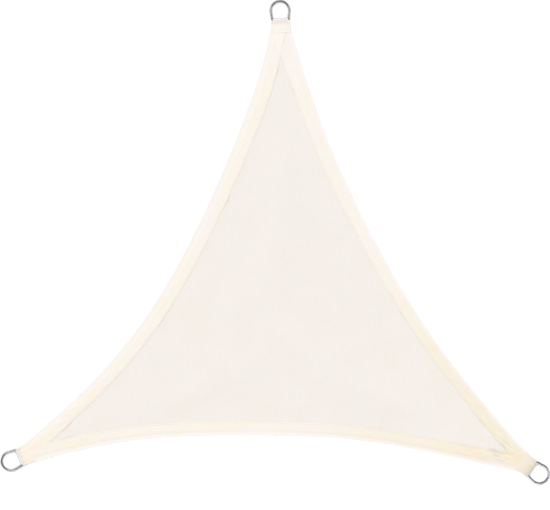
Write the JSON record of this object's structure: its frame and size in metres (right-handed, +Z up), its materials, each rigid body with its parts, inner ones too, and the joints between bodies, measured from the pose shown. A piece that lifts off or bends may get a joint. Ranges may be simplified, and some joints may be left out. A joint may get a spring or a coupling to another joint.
{
  "type": "shade sail",
  "caption": "Triangular cloth shade sail with inward-curved hemmed edges and a steel D-ring strapped to each corner, laid flat.",
  "frame": {"origin": "middle of the bounding box, on the surface that the sail lies on", "axes": "+Z up out of the cloth, +Y towards the corner opposite the lower edge, +X along the lower edge"},
  "size_m": [2.0022, 1.7444, 0.0134],
  "materials": {
    "shade_cloth": "matt knitted shade cloth, cream",
    "strap_cloth": "matt woven strap, cream",
    "ring_steel": "polished stainless steel"
  },
  "bodies": {
    "root": {"sail_cloth": "shade_cloth", "strap_top": "strap_cloth", "strap_left": "strap_cloth", "strap_right": "strap_cloth", "d_ring_top": "ring_steel", "d_ring_left": "ring_steel", "d_ring_right": "ring_steel"}
  },
  "joints": []
}
